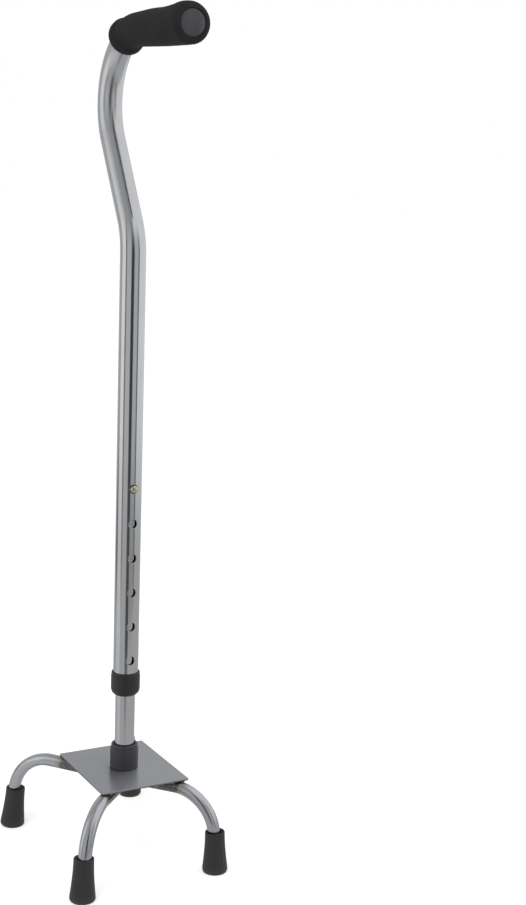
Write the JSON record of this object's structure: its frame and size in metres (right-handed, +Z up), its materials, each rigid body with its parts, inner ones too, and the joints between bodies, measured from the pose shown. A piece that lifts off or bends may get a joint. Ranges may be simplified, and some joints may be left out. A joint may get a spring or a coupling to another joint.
{
  "type": "quad cane",
  "caption": "Walking stick with a swan-neck tube, foam grip and telescoping pole locked by a snap button, on a plate with bent leg tubes and rubber tips.",
  "frame": {"origin": "on the floor, in the middle of the whole cane's outline seen from above, with the cane at its shortest", "axes": "+Z up along the pole; +X the way the handle points, away from the neck's bend; +Y to the user's left"},
  "size_m": [0.2686, 0.1742, 0.8394],
  "materials": {
    "chrome_tube": "bright chrome plate on steel tube",
    "chrome_plate": "chrome plate on ground steel sheet, softly blurred reflections",
    "black_foam": "closed-cell foam with a smooth matt skin",
    "black_rubber": "matt moulded rubber",
    "black_plastic": "satin moulded plastic",
    "grey_plastic": "satin moulded plastic",
    "white_plastic": "natural moulded plastic",
    "brass": "turned brass",
    "spring_steel": "blued spring strip",
    "zinc_steel": "zinc-plated steel"
  },
  "bodies": {
    "base": {"lower_tube": "chrome_tube", "lower_tube_guide": "white_plastic", "button_spring": "spring_steel", "socket_stub": "zinc_steel", "socket_bush": "black_plastic", "tube_foot_plug": "zinc_steel", "base_bolt": "zinc_steel", "base_bolt_washer": "zinc_steel", "base_plate": "chrome_plate", "leg_front_left": "chrome_tube", "leg_front_right": "chrome_tube", "leg_rear_left": "chrome_tube", "leg_rear_right": "chrome_tube", "tip_front_left": "black_rubber", "tip_front_right": "black_rubber", "tip_rear_left": "black_rubber", "tip_rear_right": "black_rubber", "tip_washer_front_left": "zinc_steel", "tip_washer_front_right": "zinc_steel", "tip_washer_rear_left": "zinc_steel", "tip_washer_rear_right": "zinc_steel"},
    "handle": {"upper_tube": "chrome_tube", "foam_grip": "black_foam", "grip_end_plug": "grey_plastic", "upper_collar": "black_plastic"},
    "button": {"snap_button": "brass"}
  },
  "joints": [
    {"name": "height_slide", "type": "slide", "parent": "base", "child": "handle", "axis": [0, 0, 1], "range_m": [0, 0.1765], "deforming": ["snap_button", "button_spring"]},
    {"name": "button_press", "type": "slide", "parent": "base", "child": "button", "axis": [-1, 0, 0], "range_m": [0, 0.0045], "stiffness_N_per_m": 2000, "springref_m": -0.002, "deforming": ["button_spring"]}
  ]
}
